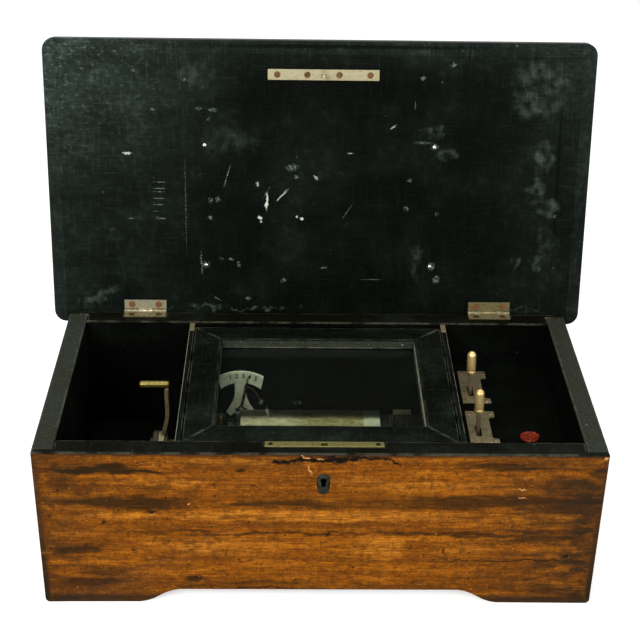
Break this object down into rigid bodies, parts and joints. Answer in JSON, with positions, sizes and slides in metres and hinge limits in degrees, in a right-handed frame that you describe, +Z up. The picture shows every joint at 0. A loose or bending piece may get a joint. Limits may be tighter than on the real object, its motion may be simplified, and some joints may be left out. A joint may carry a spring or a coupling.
{
  "type": "music box",
  "caption": "Lever-wound cylinder music box with an open hinged lid, a glazed inner lid, a tune dial and two control levers in a wooden case on bracket feet.",
  "frame": {"origin": "on the table under the middle of the whole object's box, lid open", "axes": "+X to the right along the case, +Y towards the back where the lid is hinged, +Z up"},
  "size_m": [0.46, 0.2814, 0.3715],
  "materials": {
    "front_wood": "orange-brown grained wood, old polish, dark grain streaks",
    "plain_wood": "unpolished softwood",
    "ebonised_wood": "ebonised, worn semi-gloss polish",
    "glass": "clear old glass",
    "brass": "polished, lightly aged",
    "aged_brass": "dull old lacquered brass",
    "steel": "worn plain steel with brown patina",
    "dark_steel": "blackened steel",
    "japanned_iron": "black japanned casting",
    "silvered_dial": "faded silvered plate",
    "sealing_wax": "old red wax, semi-gloss"
  },
  "bodies": {
    "root": {"case_front": "front_wood", "case_back": "front_wood", "case_left": "front_wood", "case_right": "front_wood", "bottom_board": "plain_wood", "partition_left": "ebonised_wood", "partition_right": "ebonised_wood", "control_deck": "ebonised_wood", "hinge_leaf_case_left": "aged_brass", "hinge_leaf_case_right": "aged_brass", "hinge_pin_left": "aged_brass", "hinge_pin_right": "aged_brass", "lock_case": "aged_brass", "keyhole_escutcheon": "dark_steel", "pivot_bracket_left": "brass", "pivot_bracket_right": "brass", "bedplate": "japanned_iron", "barrel_bridge_left": "brass", "barrel_bridge_right": "brass", "cylinder_bearing_left": "dark_steel", "cylinder_bearing_right": "dark_steel", "comb_base": "japanned_iron", "comb": "steel", "governor_frame": "brass", "dial_bracket": "dark_steel", "tune_dial": "silvered_dial", "control_plate_back": "steel", "control_plate_front": "steel", "wax_seal": "sealing_wax"},
    "outer_lid": {"lid_panel": "ebonised_wood", "lid_moulding_front": "ebonised_wood", "lid_moulding_left": "ebonised_wood", "lid_moulding_right": "ebonised_wood", "strike_plate": "aged_brass", "hinge_leaf_lid_left": "aged_brass", "hinge_leaf_lid_right": "aged_brass"},
    "inner_lid": {"glass_frame_front": "ebonised_wood", "glass_frame_back": "ebonised_wood", "glass_frame_left": "ebonised_wood", "glass_frame_right": "ebonised_wood", "glass_pane": "glass"},
    "winding_lever": {"lever_hub": "brass", "lever_arm": "steel", "lever_grip": "brass", "barrel_arbor": "steel"},
    "mainspring_barrel": {"spring_barrel": "brass", "great_wheel": "brass"},
    "cylinder_shaft": {"cylinder_arbor": "steel", "cylinder_wheel": "brass", "governor_drive_wheel": "brass"},
    "pinned_cylinder": {"cylinder": "brass", "change_wheel": "dark_steel"},
    "governor_arbor": {"governor_pinion_arbor": "steel"},
    "air_fan": {"worm_and_fan": "steel"},
    "tune_pointer": {"tune_pointer": "brass"},
    "change_repeat_lever": {"change_repeat_lever": "steel", "change_repeat_knob": "brass"},
    "start_stop_lever": {"start_stop_lever": "steel", "start_stop_knob": "brass"},
    "lock_bolt": {"lock_bolt": "steel"}
  },
  "joints": [
    {"name": "outer_lid_hinge", "type": "hinge", "parent": "root", "child": "outer_lid", "pos_m": [0, 0.07871, 0.143], "axis": [1, 0, 0], "range_deg": [0, 101.4]},
    {"name": "inner_lid_pivot", "type": "hinge", "parent": "root", "child": "inner_lid", "pos_m": [0, 0.05014, 0.1365], "axis": [1, 0, 0], "range_deg": [-100, 0]},
    {"name": "winding_lever_turn", "type": "hinge", "parent": "root", "child": "winding_lever", "pos_m": [0, -0.01186, 0.0653], "axis": [1, 0, 0], "range_deg": [-50, 95]},
    {"name": "change_repeat_tilt", "type": "hinge", "parent": "root", "child": "change_repeat_lever", "pos_m": [0.1297, 0.00914, 0.0965], "axis": [1, 0, 0], "range_deg": [0, 25]},
    {"name": "start_stop_tilt", "type": "hinge", "parent": "root", "child": "start_stop_lever", "pos_m": [0.1297, -0.05136, 0.0965], "axis": [1, 0, 0], "range_deg": [0, 25]},
    {"name": "cylinder_shaft_spin", "type": "hinge", "parent": "root", "child": "cylinder_shaft", "pos_m": [0, -0.03986, 0.0915], "axis": [1, 0, 0], "continuous": true},
    {"name": "barrel_spin", "type": "hinge", "parent": "root", "child": "mainspring_barrel", "pos_m": [0, -0.01186, 0.0653], "axis": [1, 0, 0], "continuous": true},
    {"name": "governor_arbor_spin", "type": "hinge", "parent": "root", "child": "governor_arbor", "pos_m": [0, -0.03986, 0.07215], "axis": [1, 0, 0], "continuous": true},
    {"name": "fan_spin", "type": "hinge", "parent": "root", "child": "air_fan", "pos_m": [0.069, -0.03185, 0.07215], "axis": [0, 0, 1], "continuous": true},
    {"name": "tune_shift", "type": "slide", "parent": "cylinder_shaft", "child": "pinned_cylinder", "axis": [1, 0, 0], "range_m": [-0.0012, 0.0008]},
    {"name": "tune_pointer_turn", "type": "hinge", "parent": "root", "child": "tune_pointer", "pos_m": [-0.0653, 0.00804, 0.0862], "axis": [0, 1, 0], "range_deg": [-27.3, 18.3]},
    {"name": "lock_bolt_slide", "type": "slide", "parent": "root", "child": "lock_bolt", "axis": [1, 0, 0], "range_m": [0, 0.006]}
  ],
  "couplings": [
    {"joint": "barrel_spin", "follows": "cylinder_shaft_spin", "ratio": -0.75},
    {"joint": "governor_arbor_spin", "follows": "cylinder_shaft_spin", "ratio": -4},
    {"joint": "fan_spin", "follows": "cylinder_shaft_spin", "ratio": 72},
    {"joint": "tune_pointer_turn", "follows": "tune_shift", "rad_per_m": 392.7}
  ]
}
